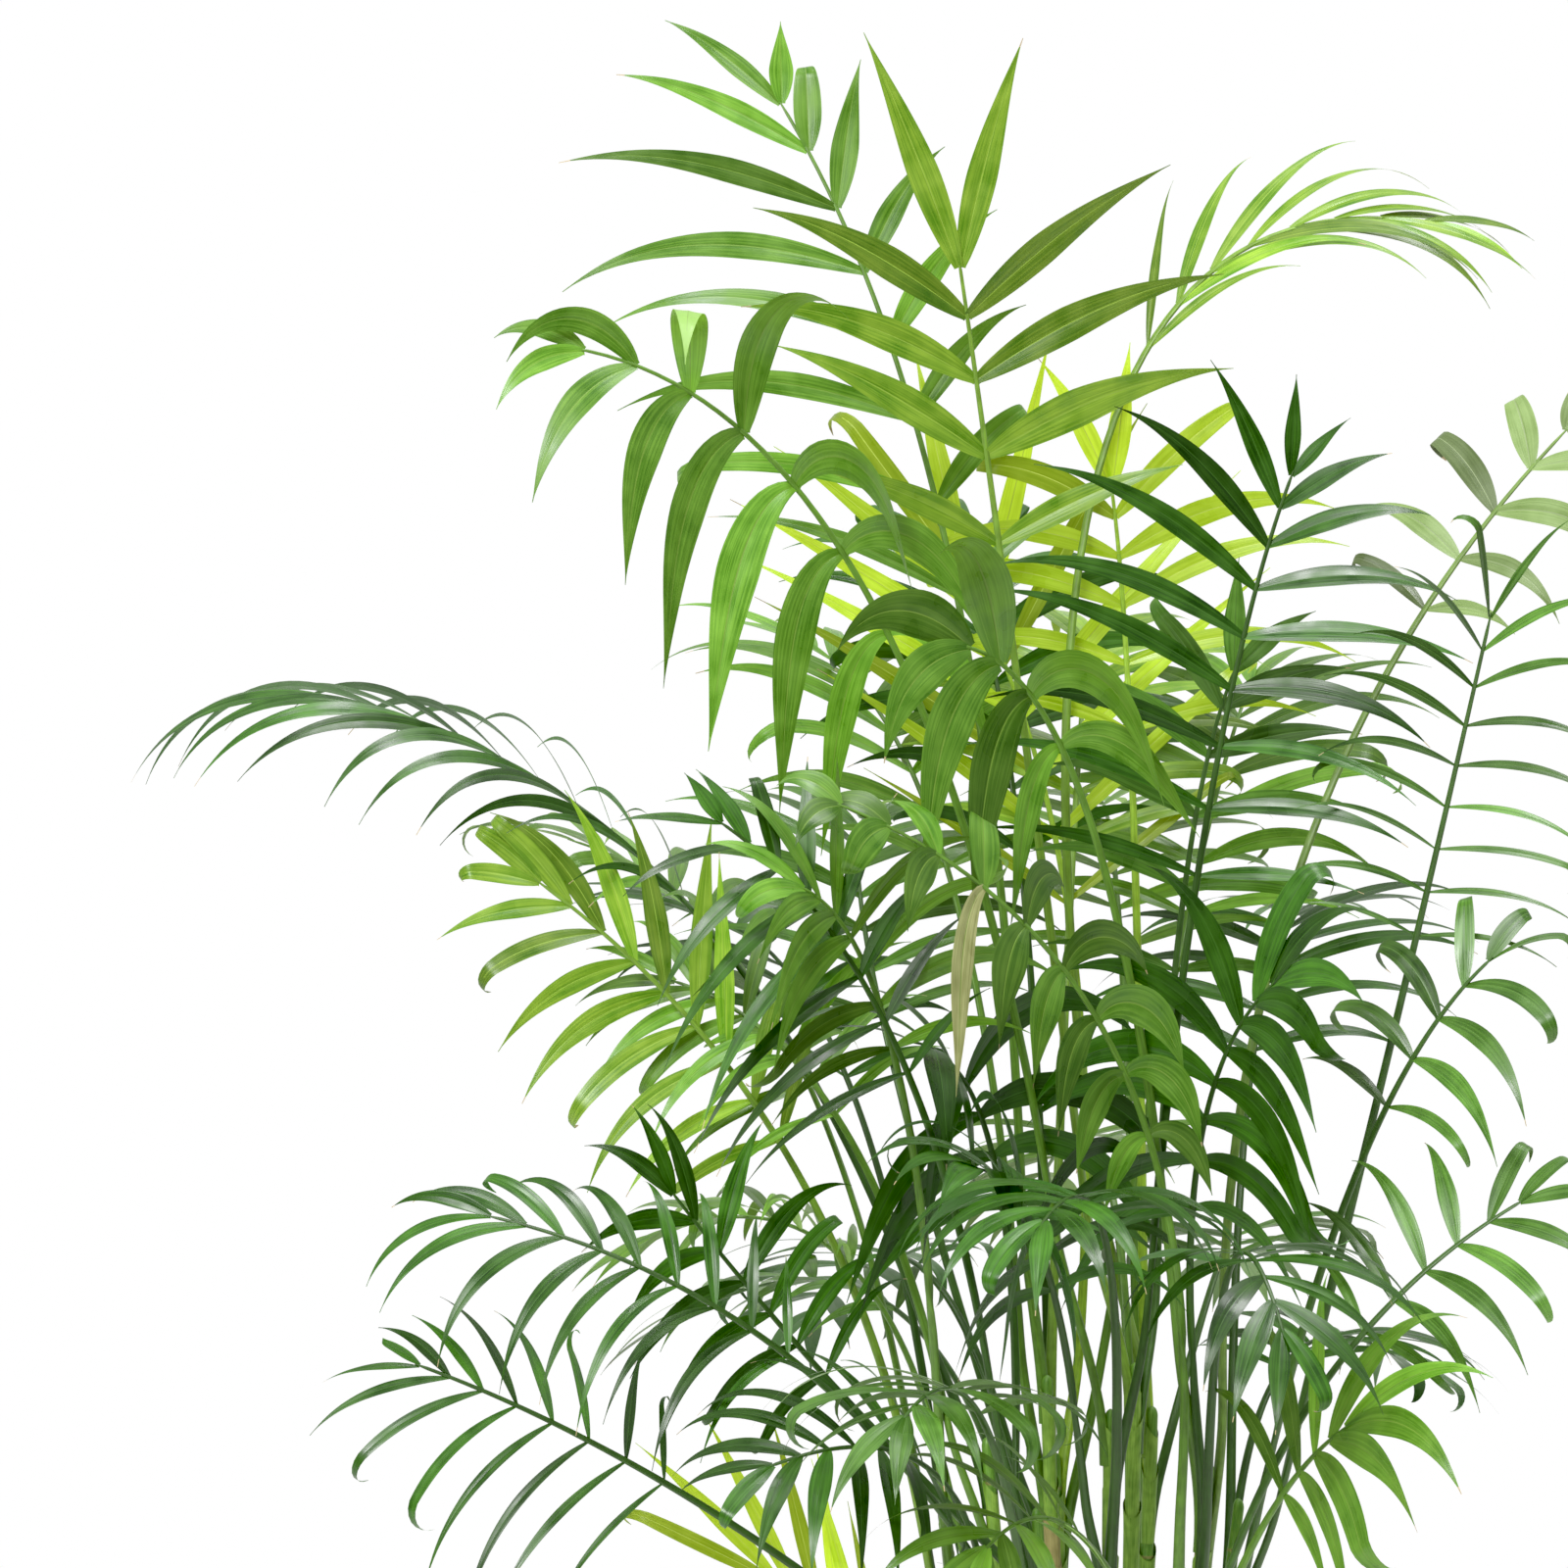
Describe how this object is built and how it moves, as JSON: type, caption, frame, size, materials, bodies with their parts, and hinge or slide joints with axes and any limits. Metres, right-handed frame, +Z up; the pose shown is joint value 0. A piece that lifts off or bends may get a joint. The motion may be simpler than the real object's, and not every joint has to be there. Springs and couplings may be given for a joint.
{
  "type": "potted parlor palm",
  "caption": "Indoor palm in a plain round pot: a clump of slender ringed canes carrying arching feather fronds with narrow leaflets.",
  "frame": {"origin": "centre of the pot's flat underside, on the floor", "axes": "+Z up through the pot's axis; -Y towards the viewer of the picture; +X to the picture's right"},
  "size_m": [0.9259, 0.7812, 1.3016],
  "materials": {
    "leaves_dark": "satin leaf",
    "leaves_blue": "satin leaf",
    "leaves_mid": "satin leaf",
    "leaves_fresh": "satin leaf",
    "leaves_bright": "satin leaf",
    "leaves_pale": "satin leaf",
    "canes": "satin, ringed",
    "pot": "matt",
    "soil": "rough, granular"
  },
  "bodies": {
    "root": {"cane_01": "canes", "cane_02": "canes", "cane_03": "canes", "cane_04": "canes", "cane_05": "canes", "cane_06": "canes", "cane_07": "canes", "cane_08": "canes", "cane_09": "canes", "cane_10": "canes", "cane_11": "canes", "frond_arching_left": "leaves_mid", "frond_back_bright": "leaves_bright", "frond_back_bright_right": "leaves_bright", "frond_back_high_1": "leaves_mid", "frond_back_high_2": "leaves_fresh", "frond_back_high_3": "leaves_dark", "frond_back_high_4": "leaves_mid", "frond_back_low_1": "leaves_dark", "frond_back_low_2": "leaves_blue", "frond_back_low_3": "leaves_mid", "frond_back_low_4": "leaves_dark", "frond_back_low_5": "leaves_blue", "frond_back_low_6": "leaves_mid", "frond_back_mid_1": "leaves_dark", "frond_back_mid_2": "leaves_mid", "frond_back_mid_3": "leaves_blue", "frond_back_mid_4": "leaves_dark", "frond_back_mid_5": "leaves_mid", "frond_bright_left": "leaves_fresh", "frond_centre_drape": "leaves_mid", "frond_centre_left": "leaves_mid", "frond_dark_comb": "leaves_dark", "frond_far_left": "leaves_dark", "frond_front_curl": "leaves_mid", "frond_front_left_blue": "leaves_dark", "frond_front_low": "leaves_dark", "frond_front_low_left": "leaves_blue", "frond_front_low_right": "leaves_dark", "frond_grey_right": "leaves_blue", "frond_left_tuft": "leaves_dark", "frond_low_centre": "leaves_mid", "frond_low_front_fan": "leaves_dark", "frond_low_left_bright": "leaves_bright", "frond_low_left_comb": "leaves_dark", "frond_low_left_dark": "leaves_dark", "frond_mid_dark_left": "leaves_dark", "frond_mid_dark_right": "leaves_dark", "frond_mid_front": "leaves_dark", "frond_mid_left_thin": "leaves_mid", "frond_right_comb": "leaves_blue", "frond_right_foot": "leaves_mid", "frond_right_low": "leaves_blue", "frond_right_lower": "leaves_blue", "frond_right_pale": "leaves_pale", "frond_tall_centre": "leaves_fresh", "frond_tall_left": "leaves_mid", "frond_top_right_arch": "leaves_fresh", "pot": "pot", "soil": "soil"}
  },
  "joints": []
}
